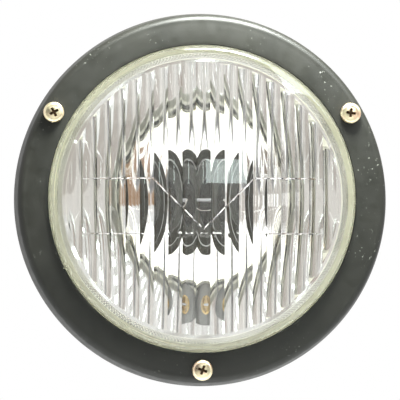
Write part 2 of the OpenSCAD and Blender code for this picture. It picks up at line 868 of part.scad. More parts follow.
module sidelight_holder() {
    color("lightgray") side_axis() difference() {
        union() {
            rod(side_collar_r - slide_gap, holder_flange_front, holder_front);
            rod(side_collar_r + side_collar_t + holder_flange_margin, holder_flange_back, holder_flange_front);
            rod(holder_back_d / 2, holder_rear, holder_flange_back);
        }
        rod(side_cap_d / 2 + fit_gap, side_cap_rear, holder_front + over);
        rod(side_cap_d / 2 - over, holder_rear - over, side_cap_rear + over);
    }
}

module sidelight_insulator() {
    color("saddlebrown") side_axis() difference() {
        rod(side_cap_d / 2 - over - fit_gap, holder_rear, side_cap_rear - fit_gap);
        translate([-contact_w / 2 - fit_gap, -contact_t / 2 - fit_gap, holder_rear - over])
            cube([contact_w + 2 * fit_gap, contact_t + 2 * fit_gap, 2 * side_insulator_t + over]);
    }
}

module sidelight_contact() {
    color("gold") side_axis()
        translate([-contact_w / 2, -contact_t / 2, holder_rear - contact_out])
            cube([contact_w, contact_t, contact_out + 2 * side_insulator_t - fit_gap]);
}

module sidelight_cap() {
    color("gold") side_axis() difference() {
        rod(side_cap_d / 2, side_cap_rear, side_cap_front);
        rod(side_cap_d / 2 - side_cap_wall, side_cap_rear + side_insulator_t, side_cap_front + over);
    }
}

module sidelight_globe() {
    r = min(side_globe_d / 2, side_cap_d / 2 - side_cap_wall - fit_gap);
    foot = side_cap_front - 2 * side_cap_out;
    tip = side_cap_front + side_globe_length - r;
    color("white", 0.4) side_axis() difference() {
        union() {
            rod(r, foot, tip);
            translate([0, 0, tip]) sphere(r = r);
        }
        union() {
            rod(r - side_glass_t, foot + 2 * side_glass_t, tip);
            translate([0, 0, tip]) sphere(r = r - side_glass_t);
        }
    }
}

module sidelight_filament() {
    wire = 0.6;
    low = side_cap_front - 2 * side_cap_out + 2 * side_glass_t;
    half = side_globe_d / 5;
    rise = side_globe_length / 2;
    color("silver") side_axis() union() {
        for (side = [-1, 1]) translate([side * half, 0, 0]) rod(wire / 2, low, low + rise);
        translate([-half, 0, low + rise]) rotate([0, 90, 0]) cylinder(r = wire, h = 2 * half);
    }
}

bowl();
panel_gasket();
aim_bushes();
cable_grommet();
earth_terminal();
earth_rivet();
aim_spring(left_angle);  // left_spring
aim_spring(right_angle);  // right_spring
aim_spring(bottom_angle);  // bottom_spring
upper_spring_cups();
aim_screw(left_angle);  // left_screw
aim_screw(right_angle);  // right_screw
aim_screw(bottom_angle);  // bottom_screw
rim();
front_gasket();
lens();
reflector_seal();
reflector();
unit_clips();
lower_spring_cup();
bulb_seat();
seat_rivets();
retainer_spring();
bulb_retainer();
bulb_flange();
bulb_cap();
bulb_insulator();
bulb_terminals();
bulb_globe();
glass_stem();
filament_posts();
filament(-post_spread, post_spread, focus);  // main_filament
filament(-post_spread, long_post, focus + dip_lead);  // dip_filament
dip_shield();
sidelight_holder();
sidelight_insulator();
sidelight_contact();
sidelight_cap();
sidelight_globe();
sidelight_filament();
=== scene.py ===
import math

import bpy
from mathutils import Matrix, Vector


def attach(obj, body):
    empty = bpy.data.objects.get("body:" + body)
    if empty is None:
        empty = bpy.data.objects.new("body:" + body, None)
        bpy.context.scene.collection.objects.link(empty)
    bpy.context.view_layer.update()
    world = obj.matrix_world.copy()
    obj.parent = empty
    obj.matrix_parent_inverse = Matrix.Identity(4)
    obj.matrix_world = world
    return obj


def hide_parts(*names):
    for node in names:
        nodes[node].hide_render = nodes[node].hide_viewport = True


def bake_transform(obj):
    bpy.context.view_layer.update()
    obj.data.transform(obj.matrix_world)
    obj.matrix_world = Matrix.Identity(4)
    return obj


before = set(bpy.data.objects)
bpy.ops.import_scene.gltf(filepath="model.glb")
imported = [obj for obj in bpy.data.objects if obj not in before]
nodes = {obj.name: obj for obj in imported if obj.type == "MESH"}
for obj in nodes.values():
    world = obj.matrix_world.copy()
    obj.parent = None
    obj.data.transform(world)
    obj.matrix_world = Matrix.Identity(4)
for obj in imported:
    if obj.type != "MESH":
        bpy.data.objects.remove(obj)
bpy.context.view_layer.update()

mm = 0.001
weld = 1e-6  # points closer than this are one point
screwCircle = 82.5  # radius on which the aiming screws stand
screwAngles = (30, 150, 270)
panelAngles = (90, 210, 330)
print("stage: frame loaded with", len(nodes), "nodes")


# Plain tools, in mm: a profile is drawn as (radius, height in front of the panel)
def deselect():
    if bpy.context.object and bpy.context.object.mode == "EDIT":
        bpy.ops.object.mode_set(mode="OBJECT")
    bpy.ops.object.select_all(action="DESELECT")


def useOnly(piece):
    deselect()
    piece.select_set(True)
    bpy.context.view_layer.objects.active = piece


def arcLine(cx, cy, r, start, end, steps):
    angles = [math.radians(start + (end - start) * k / steps) for k in range(steps + 1)]
    return [(cx + r * math.cos(a), cy + r * math.sin(a)) for a in angles]


# The profile stays selected in edit mode, ready for a spin or a face
def drawLine(name, line, close=True):
    deselect()
    bpy.ops.mesh.primitive_plane_add(size=mm)
    piece = bpy.context.object
    piece.name = name
    piece.data.name = name
    bpy.ops.object.mode_set(mode="EDIT")
    bpy.ops.mesh.select_all(action="SELECT")
    bpy.ops.mesh.merge(type="CENTER")
    here = (0, 0)
    for count, (r, z) in enumerate(list(line) + list(line[:1] if close else [])):
        step = (mm * (r - here[0]), mm * (here[1] - z), 0)
        if count:
            bpy.ops.mesh.extrude_region_move(TRANSFORM_OT_translate={"value": step})
        else:
            bpy.ops.transform.translate(value=step)
        here = (r, z)
    bpy.ops.mesh.select_all(action="SELECT")
    bpy.ops.mesh.remove_doubles(threshold=weld)
    bpy.ops.mesh.select_all(action="SELECT")
    return piece


def closeShape(piece):
    bpy.ops.mesh.select_all(action="SELECT")
    bpy.ops.mesh.remove_doubles(threshold=weld)
    bpy.ops.mesh.normals_make_consistent(inside=False)
    bpy.ops.object.mode_set(mode="OBJECT")
    return piece


def turnPiece(name, line, steps, close=True):
    piece = drawLine(name, line, close)
    bpy.ops.mesh.spin(steps=steps, angle=2 * math.pi, center=(0, 0, 0), axis=(0, 1, 0))
    return closeShape(piece)


def cut(piece, cutter, operation="DIFFERENCE"):
    useOnly(piece)
    bpy.ops.object.modifier_add(type="BOOLEAN")
    change = piece.modifiers[-1]
    change.operation = operation
    change.object = cutter
    change.solver = "EXACT"
    bpy.ops.object.modifier_apply(modifier=change.name)
    bpy.data.objects.remove(cutter, do_unlink=True)


def rodCutter(r, low, high, x=0.0, z=0.0, sides=48):
    deselect()
    bpy.ops.mesh.primitive_cylinder_add(
        vertices=sides, radius=r * mm, depth=(high - low) * mm,
        location=(x * mm, -(low + high) / 2 * mm, z * mm), rotation=(math.pi / 2, 0, 0))
    bpy.ops.object.transform_apply(location=True, rotation=True, scale=True)
    return bpy.context.object


def smooth(piece, degrees):
    useOnly(piece)
    bpy.ops.object.shade_smooth_by_angle(angle=math.radians(degrees))


def settle(piece, x=0.0, z=0.0, turn=0.0):
    useOnly(piece)
    piece.rotation_euler = (0, math.radians(turn), 0)
    piece.location = (x * mm, 0, z * mm)
    bpy.ops.object.transform_apply(location=True, rotation=True, scale=True)


def finishPiece(piece, material, slotName, body, *replaced):
    piece.data.materials.clear()
    piece.data.materials.append(material)
    if body:
        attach(piece, body)
    if replaced:
        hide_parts(*replaced)


def screwPlace(angle, r=screwCircle):
    return r * math.cos(math.radians(angle)), r * math.sin(math.radians(angle))


# Finishes, all worked out from the Object coordinates, in metres
grain = 0.0001  # height of the fine grain
finer = 12  # the grain of a metal is finer than its patches by this
lampPlane = (1, 0, 1)


def startFinish(name):
    material = bpy.data.materials.new(name)
    material.use_nodes = True
    tree = material.node_tree
    place = tree.nodes.new("ShaderNodeTexCoord")
    return material, tree, tree.nodes["Principled BSDF"], place.outputs["Object"]


def noiseOn(tree, place, scale, detail=3.0, roughness=0.5, stretch=None):
    if stretch:
        mapping = tree.nodes.new("ShaderNodeMapping")
        mapping.inputs["Scale"].default_value = stretch
        tree.links.new(place, mapping.inputs["Vector"])
        place = mapping.outputs["Vector"]
    noise = tree.nodes.new("ShaderNodeTexNoise")
    noise.inputs["Scale"].default_value = scale
    noise.inputs["Detail"].default_value = detail
    noise.inputs["Roughness"].default_value = roughness
    tree.links.new(place, noise.inputs["Vector"])
    return noise.outputs["Fac"]


def rampOn(tree, value, stops):
    ramp = tree.nodes.new("ShaderNodeValToRGB")
    points = ramp.color_ramp.elements
    while len(points) < len(stops):
        points.new(0.5)
    for point, (at, colour) in zip(points, stops):
        point.position = at
        point.color = (*colour, 1) if isinstance(colour, tuple) else (colour, colour, colour, 1)
    tree.links.new(value, ramp.inputs["Fac"])
    return ramp.outputs["Color"]


def blendOn(tree, share, first, second):
    mix = tree.nodes.new("ShaderNodeMix")
    mix.data_type = "RGBA"
    if isinstance(share, float):
        mix.inputs["Factor"].default_value = share
    else:
        tree.links.new(share, mix.inputs["Factor"])
    for socket, value in (("A", first), ("B", second)):
        target = [s for s in mix.inputs if s.name == socket and s.type == "RGBA"][0]
        if isinstance(value, tuple):
            target.default_value = (*value, 1)
        else:
            tree.links.new(value, target)
    return [s for s in mix.outputs if s.type == "RGBA"][0]


# A second bump lies on top of the first
def bumpOn(tree, shader, height, strength, distance=grain):
    bump = tree.nodes.new("ShaderNodeBump")
    bump.inputs["Strength"].default_value = strength
    bump.inputs["Distance"].default_value = distance
    tree.links.new(height, bump.inputs["Height"])
    for link in shader.inputs["Normal"].links:
        tree.links.new(link.from_socket, bump.inputs["Normal"])
    tree.links.new(bump.outputs["Normal"], shader.inputs["Normal"])


def mathOn(tree, kind, first, second=0.0):
    both = tree.nodes.new("ShaderNodeMath")
    both.operation = kind
    for socket, value in zip(both.inputs, (first, second)):
        if isinstance(value, float):
            socket.default_value = value
        else:
            tree.links.new(value, socket)
    return both.outputs[0]


def rangeOn(tree, value, low, high):
    between = tree.nodes.new("ShaderNodeMapRange")
    between.inputs["From Min"].default_value = low
    between.inputs["From Max"].default_value = high
    tree.links.new(value, between.inputs["Value"])
    return between.outputs["Result"]


# Each point's place as seen from the front, without its depth
def flatOn(tree, place):
    flat = tree.nodes.new("ShaderNodeVectorMath")
    flat.operation = "MULTIPLY"
    flat.inputs[1].default_value = lampPlane
    tree.links.new(place, flat.inputs[0])
    return flat.outputs[0]


# Distance from a line that runs along the lamp's axis, in metres
def distanceOn(tree, place, x=0.0, z=0.0):
    gap = tree.nodes.new("ShaderNodeVectorMath")
    gap.operation = "DISTANCE"
    gap.inputs[1].default_value = (x * mm, 0, z * mm)
    tree.links.new(flatOn(tree, place), gap.inputs[0])
    return gap.outputs["Value"]


def axesOn(tree, place):
    axes = tree.nodes.new("ShaderNodeSeparateXYZ")
    tree.links.new(place, axes.inputs[0])
    return axes.outputs["X"], axes.outputs["Y"], axes.outputs["Z"]


def lighter(tint, factor):
    return tuple(min(1, factor * c) for c in tint)


def metalFinish(name, dark, light, rough, scale, bump=0.08, metallic=1.0):
    material, tree, shader, place = startFinish(name)
    patches = noiseOn(tree, place, scale, detail=4, roughness=0.6)
    tree.links.new(rampOn(tree, patches, [(0.3, dark), (0.7, light)]), shader.inputs["Base Color"])
    tree.links.new(rampOn(tree, patches, [(0.3, rough[0]), (0.7, rough[1])]), shader.inputs["Roughness"])
    shader.inputs["Metallic"].default_value = metallic
    bumpOn(tree, shader, noiseOn(tree, place, finer * scale, detail=2), bump)
    return material


def plainFinish(name, dark, light, rough, scale=120, bump=0.15):
    material, tree, shader, place = startFinish(name)
    patches = noiseOn(tree, place, scale, detail=4, roughness=0.6)
    tree.links.new(rampOn(tree, patches, [(0.3, dark), (0.7, light)]), shader.inputs["Base Color"])
    sheen = rampOn(tree, patches, [(0.35, rough[0]), (0.65, rough[1])])
    tree.links.new(sheen, shader.inputs["Roughness"])
    bumpOn(tree, shader, noiseOn(tree, place, scale=1500, detail=2), bump)
    return material


# Dust lies on the enamel as specks, here and there
def enamelFinish(name, dark, light, dust):
    material, tree, shader, place = startFinish(name)
    ground = rampOn(tree, noiseOn(tree, place, scale=45), [(0.35, dark), (0.65, light)])
    specks = rampOn(tree, noiseOn(tree, place, scale=700, detail=2), [(0.67, 0.0), (0.74, 1.0)])
    patch = rampOn(tree, noiseOn(tree, place, scale=30, detail=2), [(0.5, 0.0), (0.75, 1.0)])
    dusty = mathOn(tree, "MULTIPLY", specks, patch)
    tree.links.new(blendOn(tree, dusty, ground, dust), shader.inputs["Base Color"])
    rough = rampOn(tree, noiseOn(tree, place, scale=220, detail=4), [(0.3, 0.42), (0.7, 0.55)])
    tree.links.new(rough, shader.inputs["Roughness"])
    shader.inputs["Specular IOR Level"].default_value = 0.42
    bumpOn(tree, shader, noiseOn(tree, place, scale=900), 0.12)
    return material


# Thin blown glass: clear where it faces the eye, denser at its edge
def thinGlassFinish(name, tint, middle, edge):
    material, tree, shader, place = startFinish(name)
    shade = rampOn(tree, noiseOn(tree, place, scale=90), [(0.3, tint), (0.7, lighter(tint, 1.05))])
    tree.links.new(shade, shader.inputs["Base Color"])
    rough = rampOn(tree, noiseOn(tree, place, scale=150), [(0.4, 0.02), (0.8, 0.08)])
    tree.links.new(rough, shader.inputs["Roughness"])
    facing = tree.nodes.new("ShaderNodeLayerWeight").outputs["Facing"]
    alpha = rampOn(tree, facing, [(0.0, middle), (0.75, middle), (1.0, edge)])
    tree.links.new(alpha, shader.inputs["Alpha"])
    return material


# Silvering, with painted shade round the bulb's hole: dark out to about 26 mm
neckShadeSize = {"inner": 25.8, "outer": 26.3, "wander": 0.6}


def silverFinish(name):
    b = neckShadeSize
    material, tree, shader, place = startFinish(name)
    patches = noiseOn(tree, place, scale=40, detail=4, roughness=0.6)
    bright = rampOn(tree, patches, [(0.3, (0.88, 0.88, 0.87)), (0.7, (0.93, 0.93, 0.92))])
    # Painted shade: the silvering near the bulb's hole is painted near black
    neckShadeGrain = noiseOn(tree, place, scale=900, detail=2)
    neckShade = rampOn(tree, neckShadeGrain, [(0.35, (0.05, 0.05, 0.042)), (0.65, (0.1, 0.1, 0.088))])
    wander = mathOn(tree, "MULTIPLY", noiseOn(tree, place, scale=300, detail=2), b["wander"] * mm)
    radius = mathOn(tree, "ADD", distanceOn(tree, place), wander)
    ring = rangeOn(tree, radius, b["inner"] * mm, b["outer"] * mm)
    tree.links.new(blendOn(tree, ring, neckShade, bright), shader.inputs["Base Color"])
    tree.links.new(rampOn(tree, ring, [(0.0, 0.5), (1.0, 0.04)]), shader.inputs["Roughness"])
    shader.inputs["Metallic"].default_value = 1
    bumpOn(tree, shader, noiseOn(tree, place, scale=480, detail=2), 0.01)
    return material


# Pressed glass: a knurled ring on its inner face, and a creamier border
knurlSize = {"inner": 66.9, "outer": 69.6, "front": 31.5, "soft": 0.2, "height": 0.3, "ripple": 0.5,
             "borderInner": 66.5, "borderOuter": 69.0, "around": 270.0, "outward": 4300.0}


def pressedGlassFinish(name, tint, border):
    k = knurlSize
    material, tree, shader, place = startFinish(name)
    shader.inputs["Transmission Weight"].default_value = 1
    shader.inputs["IOR"].default_value = 1.5
    rough = rampOn(tree, noiseOn(tree, place, scale=150), [(0.4, 0.0), (0.8, 0.03)])
    tree.links.new(rough, shader.inputs["Roughness"])
    clear = rampOn(tree, noiseOn(tree, place, scale=60), [(0.3, tint), (0.7, lighter(tint, 1.02))])
    radius = distanceOn(tree, place)
    rim = rangeOn(tree, radius, k["borderInner"] * mm, k["borderOuter"] * mm)
    tree.links.new(blendOn(tree, rim, clear, border), shader.inputs["Base Color"])
    x, y, z = axesOn(tree, place)
    ring = rangeOn(tree, radius, k["inner"] * mm, (k["inner"] + k["soft"]) * mm)
    for value, edge, way in ((radius, k["outer"], -k["soft"]), (y, -k["front"], k["soft"])):
        ring = mathOn(tree, "MULTIPLY", ring, rangeOn(tree, value, edge * mm, (edge + way) * mm))
    angle = mathOn(tree, "ARCTAN2", x, z)
    around = mathOn(tree, "SINE", mathOn(tree, "MULTIPLY", angle, k["around"]))
    outward = mathOn(tree, "SINE", mathOn(tree, "MULTIPLY", radius, k["outward"]))
    studs = mathOn(tree, "MULTIPLY", mathOn(tree, "MULTIPLY", around, outward), ring)
    bumpOn(tree, shader, noiseOn(tree, place, scale=110, detail=1), 0.02, k["ripple"] * mm)
    bumpOn(tree, shader, studs, 1.0, k["height"] * mm)
    return material


# Yellow zinc, with painted shade at the foot of the screws' cross recesses, which are also made rough
# there
recessSize = {"r": 2.9, "soft": 0.2, "front": 33.4, "back": 32.9}


def zincFinish(name):
    c = recessSize
    material, tree, shader, place = startFinish(name)
    ground = rampOn(tree, noiseOn(tree, place, scale=330),
                    [(0.3, (0.56, 0.4, 0.2)), (0.5, (0.8, 0.65, 0.38)), (0.7, (0.9, 0.79, 0.56))])
    tinge = rampOn(tree, noiseOn(tree, place, scale=190, detail=2, stretch=(1, 1.3, 1)),
                   [(0.4, (0.95, 0.62, 0.5)), (0.52, (0.95, 0.84, 0.64)), (0.66, (0.86, 0.86, 0.62))])
    coat = blendOn(tree, 0.45, ground, tinge)
    nearest = None
    for angle in screwAngles:
        gap = distanceOn(tree, place, *screwPlace(angle))
        nearest = mathOn(tree, "MINIMUM", nearest, gap) if nearest else gap
    # Painted shade: the foot of each cross recess is painted dark brown
    recessShadeMask = mathOn(tree, "MULTIPLY", rangeOn(tree, nearest, c["r"] * mm, (c["r"] - c["soft"]) * mm),
                  rangeOn(tree, axesOn(tree, place)[1], -c["front"] * mm, -c["back"] * mm))
    tree.links.new(blendOn(tree, recessShadeMask, coat, (0.16, 0.11, 0.07)), shader.inputs["Base Color"])
    gloss = rampOn(tree, noiseOn(tree, place, scale=500), [(0.3, 0.26), (0.7, 0.42)])
    tree.links.new(blendOn(tree, recessShadeMask, gloss, (0.7, 0.7, 0.7)), shader.inputs["Roughness"])
    shader.inputs["Metallic"].default_value = 1
    bumpOn(tree, shader, noiseOn(tree, place, scale=2200, detail=2), 0.12)
    return material


rimEnamel = enamelFinish("rim enamel", (0.009, 0.0092, 0.0065), (0.0145, 0.0145, 0.011),
                         (0.35, 0.36, 0.32))
bowlEnamel = enamelFinish("bowl enamel", (0.014, 0.014, 0.014), (0.022, 0.022, 0.021), (0.2, 0.2, 0.19))
yellowZinc = zincFinish("yellow zinc")
springWire = metalFinish("spring wire", (0.36, 0.36, 0.37), (0.56, 0.56, 0.56), (0.3, 0.45), 300)
brightSteel = metalFinish("bright steel", (0.5, 0.5, 0.5), (0.68, 0.68, 0.67), (0.25, 0.45), 150)
mirrorSilver = silverFinish("mirror silvering")
rivetAlloy = metalFinish("rivet alloy", (0.6, 0.6, 0.6), (0.75, 0.75, 0.75), (0.3, 0.5), 300)
brassFinish = metalFinish("brass", (0.55, 0.38, 0.14), (0.78, 0.6, 0.28), (0.2, 0.38), 200)
# Painted shade: the bulb's flange and cap are painted near black, so the bulb's hole stays dark
shadedBrass = metalFinish("shaded brass", (0.05, 0.05, 0.042), (0.08, 0.08, 0.068), (0.45, 0.6), 150,
                        metallic=0.6)
tungstenWire = metalFinish("tungsten wire", (0.36, 0.36, 0.38), (0.5, 0.5, 0.52), (0.35, 0.5), 900)
brightShield = metalFinish("bright nickel", (0.84, 0.84, 0.83), (0.92, 0.92, 0.9), (0.08, 0.16), 300,
                           bump=0.02)
blackRubber = plainFinish("black rubber", (0.018, 0.018, 0.018), (0.035, 0.035, 0.034), (0.6, 0.8))
creamSeal = plainFinish("cream seal", (0.9, 0.89, 0.75), (0.95, 0.94, 0.84), (0.5, 0.7))
blackGlaze = plainFinish("black glaze", (0.01, 0.01, 0.011), (0.025, 0.025, 0.028), (0.12, 0.25),
                         bump=0.03)
greyPlastic = plainFinish("grey plastic", (0.2, 0.2, 0.19), (0.27, 0.27, 0.255), (0.4, 0.55))
brownLaminate = plainFinish("brown laminate", (0.1, 0.05, 0.02), (0.19, 0.1, 0.05), (0.4, 0.6), 400)
lampGlass = pressedGlassFinish("lamp glass", (0.985, 0.985, 0.972), (0.95, 0.955, 0.87))
bulbGlass = thinGlassFinish("bulb glass", (0.9, 0.92, 0.9), 0.02, 0.3)
# Painted shade: the bulb's glass stem is tinted near black, so the inside of the bulb stays dark
shadedStemGlass = thinGlassFinish("shaded stem glass", (0.1, 0.1, 0.09), 0.35, 0.6)

finishOf = {
    "panel_gasket": blackRubber, "aim_bushes": yellowZinc, "earth_terminal": brassFinish,
    "earth_rivet": rivetAlloy, "upper_spring_cups": yellowZinc, "lower_spring_cup": yellowZinc,
    "front_gasket": creamSeal, "reflector_seal": creamSeal, "unit_clips": brightSteel,
    "bulb_seat": brightSteel, "seat_rivets": rivetAlloy, "bulb_retainer": brightSteel,
    "bulb_flange": shadedBrass, "bulb_cap": shadedBrass, "bulb_insulator": blackGlaze,
    "bulb_terminals": brightSteel, "glass_stem": shadedStemGlass, "filament_posts": brightShield,
    "main_filament": tungstenWire, "dip_filament": tungstenWire, "sidelight_holder": greyPlastic,
    "sidelight_insulator": brownLaminate, "sidelight_contact": brassFinish,
    "sidelight_cap": brassFinish, "sidelight_filament": tungstenWire,
}
for nodeName, finish in finishOf.items():
    nodes[nodeName].data.materials.clear()
    nodes[nodeName].data.materials.append(finish)
print("stage: finishes made")


# Rim: one pressed sheet, its face a little crowned, its mouth edge rolled
rimSize = {"opening": 74.0, "outer": 90.0, "face": 30.0, "sheet": 1.2, "shoulder": 3.6, "rear": 13.0,
           "crown": 0.9, "edge": 0.5, "flare": 1.2, "hole": 3.5, "bevel": 0.4, "burr": 0.1, "lean": 12,
           "edgeAngles": (0, 22, 45, 68, 90), "faceSteps": 8, "backSteps": 4, "outerSteps": 12,
           "innerSteps": 8, "drillBack": 6, "drillFront": 4, "steps": 288, "smooth": 40}


def makeRim():
    s = rimSize
    edge, mouth = s["edge"], s["opening"] + s["edge"]
    angles = [math.radians(a) for a in s["edgeAngles"]]
    top = [(mouth - edge * math.cos(a), s["face"] - edge + edge * math.sin(a)) for a in angles]
    flat = s["outer"] - s["flare"] - s["shoulder"]
    share = [k / s["faceSteps"] for k in range(1, s["faceSteps"] + 1)]
    face = [(mouth + (flat - mouth) * t, s["face"] - s["crown"] * t ** 2) for t in share]
    level = face[-1][1] - s["shoulder"]
    outside = arcLine(flat, level, s["shoulder"], 90, s["lean"], s["outerSteps"])
    skirt = [(s["outer"], s["rear"] + s["bevel"]), (s["outer"] - s["bevel"], s["rear"]),
             (s["outer"] - s["sheet"] + 2 * s["burr"], s["rear"] + s["burr"])]
    inside = arcLine(flat, level, s["shoulder"] - s["sheet"], s["lean"], 90, s["innerSteps"])
    share = [1 - k / s["backSteps"] for k in range(1, s["backSteps"] + 1)]
    back = [(s["opening"] + (flat - s["opening"]) * t, s["face"] - s["sheet"] - s["crown"] * t ** 2)
            for t in share]
    rim = turnPiece("rimShell", top + face + outside[1:] + skirt + inside[:-1] + back, s["steps"])
    for angle in screwAngles:
        x, z = screwPlace(angle)
        cut(rim, rodCutter(s["hole"], s["face"] - s["drillBack"], s["face"] + s["drillFront"], x, z))
    smooth(rim, s["smooth"])
    finishPiece(rim, rimEnamel, "rim_paint", "light_unit", "rim")


makeRim()
print("stage: rim made")


# Aiming screws: pan heads with a cross recess that narrows towards its foot, rolled threads
screwSize = {"seat": 30.3, "length": 25.0, "pitch": 0.8, "crest": 0.1, "flank": 0.3, "major": 2.5,
             "minor": 2.1, "runOut": 0.6, "point": 0.5, "head": 5.0, "headHeight": 3.5, "chamfer": 0.3,
             "flat": 3.1, "round": 1.7, "roundEnd": 78, "roundSteps": 8, "rise": 0.45, "domeSteps": 6,
             "cross": 5.6, "slot": 1.45, "depth": 2.2, "over": 1.0, "footShare": (0.6, 1, 0.7),
             "steps": 64, "smooth": 38}


def makeScrew(name, node, angle, turn):
    s = screwSize
    seat, top = s["seat"], s["seat"] + s["headHeight"]
    tip = seat - s["length"]
    thread = []
    level = seat - s["runOut"]
    while level - s["pitch"] > tip + s["runOut"]:
        valley = level - s["crest"] - s["flank"]
        thread += [(s["major"], level), (s["major"], level - s["crest"]),
                   (s["minor"], valley), (s["minor"], valley - s["crest"])]
        level -= s["pitch"]
    crown = top - s["rise"]
    shoulder = arcLine(s["head"] - s["round"], crown - s["round"], s["round"], 0, s["roundEnd"],
                       s["roundSteps"])
    share = [1 - k / s["domeSteps"] for k in range(s["domeSteps"] + 1)]
    dome = [(s["flat"] * t, top - s["rise"] * t ** 2) for t in share]
    line = [(0, tip), (s["minor"] - s["point"], tip)] + thread[::-1]
    line += [(s["major"], seat), (s["head"] - s["chamfer"], seat), (s["head"], seat + s["chamfer"])]
    screw = turnPiece(name, line + shoulder + dome, s["steps"], close=False)
    for quarter in (0, 90):
        deselect()
        middle = top + (s["over"] - s["depth"]) / 2
        bpy.ops.mesh.primitive_cube_add(size=mm, location=(0, -middle * mm, 0))
        slot = bpy.context.object
        bpy.ops.object.mode_set(mode="EDIT")
        bpy.ops.mesh.select_all(action="SELECT")
        bpy.ops.transform.resize(value=(s["cross"], s["depth"] + s["over"], s["slot"]))
        bpy.ops.mesh.select_all(action="DESELECT")
        bpy.ops.object.mode_set(mode="OBJECT")
        for point in slot.data.vertices:
            point.select = point.co.y > 0
        bpy.ops.object.mode_set(mode="EDIT")
        bpy.ops.transform.resize(value=s["footShare"])
        bpy.ops.object.mode_set(mode="OBJECT")
        bpy.ops.object.transform_apply(location=True, rotation=True, scale=True)
        settle(slot, turn=quarter + turn)
        cut(screw, slot)
    settle(screw, *screwPlace(angle))
    smooth(screw, s["smooth"])
    finishPiece(screw, yellowZinc, "yellow_zinc", node, node)


makeScrew("leftScrewPiece", "left_screw", 150, 62)
makeScrew("rightScrewPiece", "right_screw", 30, 8)
makeScrew("bottomScrewPiece", "bottom_screw", 270, 20)
print("stage: screws made")


# Aiming springs, wound between the bush and its cup, and the retainer's, conical in the bulb seat
springSize = {"wire": 0.6, "coil": 3.6, "low": 12.05, "high": 26.65, "curls": 6, "taper": 0.0}
retainerSpringSize = {"wire": 0.45, "coil": 14.3, "low": -31.35, "high": -25.75, "curls": 2.5,
                      "taper": 6.4}
windSize = {"sides": 12, "steps": 36, "smooth": 60}


def makeSpring(name, s):
    rise = s["high"] - s["low"]
    deselect()
    bpy.ops.mesh.primitive_circle_add(vertices=windSize["sides"], radius=s["wire"] * mm,
                                      location=(s["coil"] * mm, -(s["low"] + s["wire"]) * mm, 0))
    bpy.ops.object.transform_apply(location=True, rotation=True, scale=True)
    spring = bpy.context.object
    spring.name = name
    spring.data.name = name
    bpy.ops.object.modifier_add(type="SCREW")
    turn = spring.modifiers[-1]
    turn.axis = "Y"
    turn.angle = 2 * math.pi * s["curls"]
    turn.screw_offset = -(rise - 2 * s["wire"]) * mm
    turn.iterations = 1
    turn.steps = int(windSize["steps"] * s["curls"])
    turn.render_steps = turn.steps
    bpy.ops.object.modifier_apply(modifier=turn.name)
    bpy.ops.object.mode_set(mode="EDIT")
    bpy.ops.mesh.select_all(action="SELECT")
    bpy.ops.mesh.fill_holes(sides=0)
    closeShape(spring)
    for point in spring.data.vertices:
        share = (-point.co.y / mm - s["low"]) / rise
        widen = 1 + s["taper"] * mm * share / math.hypot(point.co.x, point.co.z)
        point.co = (point.co.x * widen, point.co.y, point.co.z * widen)
    smooth(spring, windSize["smooth"])
    return spring


def makeAimSpring(name, angle, node):
    s = springSize
    spring = makeSpring(name, s)
    x, z = screwPlace(angle)
    settle(spring, x, z)
    finishPiece(spring, springWire, "spring_steel", None, node)
    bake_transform(spring)


makeAimSpring("leftSpringWire", 150, "left_spring")
makeAimSpring("rightSpringWire", 30, "right_spring")
makeAimSpring("bottomSpringWire", 270, "bottom_spring")
print("stage: springs wound")


# Reflector: a deep drawn parabola with its neck and the collar of the side light
reflectorSize = {"focal": 28.0, "vertex": -22.95, "mouth": 70.0, "neck": 21.5, "sheet": 0.8,
                 "flange": 77.0, "front": 20.8, "seatRing": 29.7, "drop": 50.0, "collar": 10.3,
                 "collarSheet": 0.8, "collarRear": -19.88, "over": 1.0, "drill": 2.0, "trimTop": 30.0,
                 "collarSides": 96, "steps": 256, "rings": 48, "smooth": 25}


def bowlHeight(r):
    return reflectorSize["vertex"] + r * r / (4 * reflectorSize["focal"])


def makeReflector():
    s = reflectorSize
    low, sheet, drop = s["vertex"], s["sheet"], s["drop"]
    radii = [s["neck"] + (s["mouth"] - s["neck"]) * k / s["rings"] for k in range(s["rings"] + 1)]
    face = [(r, bowlHeight(r)) for r in radii]
    behind = []
    for r, z in face[1:]:
        slope = math.atan(r / (2 * s["focal"]))
        behind.append((r + sheet * math.sin(slope), z - sheet * math.cos(slope)))
    neck = [(s["seatRing"], low), (s["seatRing"], low + sheet), (s["neck"] + sheet, low + sheet)]
    line = [(s["flange"], s["front"])] + face[::-1] + [(s["neck"], low)] + neck
    line += behind[:-1] + [(s["mouth"] + sheet, s["front"] - sheet), (s["flange"], s["front"] - sheet)]
    mirror = turnPiece("reflectorBowl", line, s["steps"])
    collarTop = bowlHeight(drop + s["collar"]) + s["over"]
    under = s["collarRear"] - s["drill"]
    sides = s["collarSides"]
    outer = rodCutter(s["collar"] + s["collarSheet"], s["collarRear"], collarTop, 0, -drop, sides)
    trimLine = [(0, under), (s["neck"], under)] + [(r, z - sheet / 2) for r, z in face]
    trimLine += [(s["mouth"], s["trimTop"]), (0, s["trimTop"])]
    trim = turnPiece("trim", trimLine, s["steps"], close=False)
    cut(outer, trim)
    cut(mirror, outer, "UNION")
    cut(mirror, rodCutter(s["collar"], under, s["front"] + s["drill"], 0, -drop, sides))
    smooth(mirror, s["smooth"])
    finishPiece(mirror, mirrorSilver, "silvering", "light_unit", "reflector")


makeReflector()
print("stage: reflector drawn")


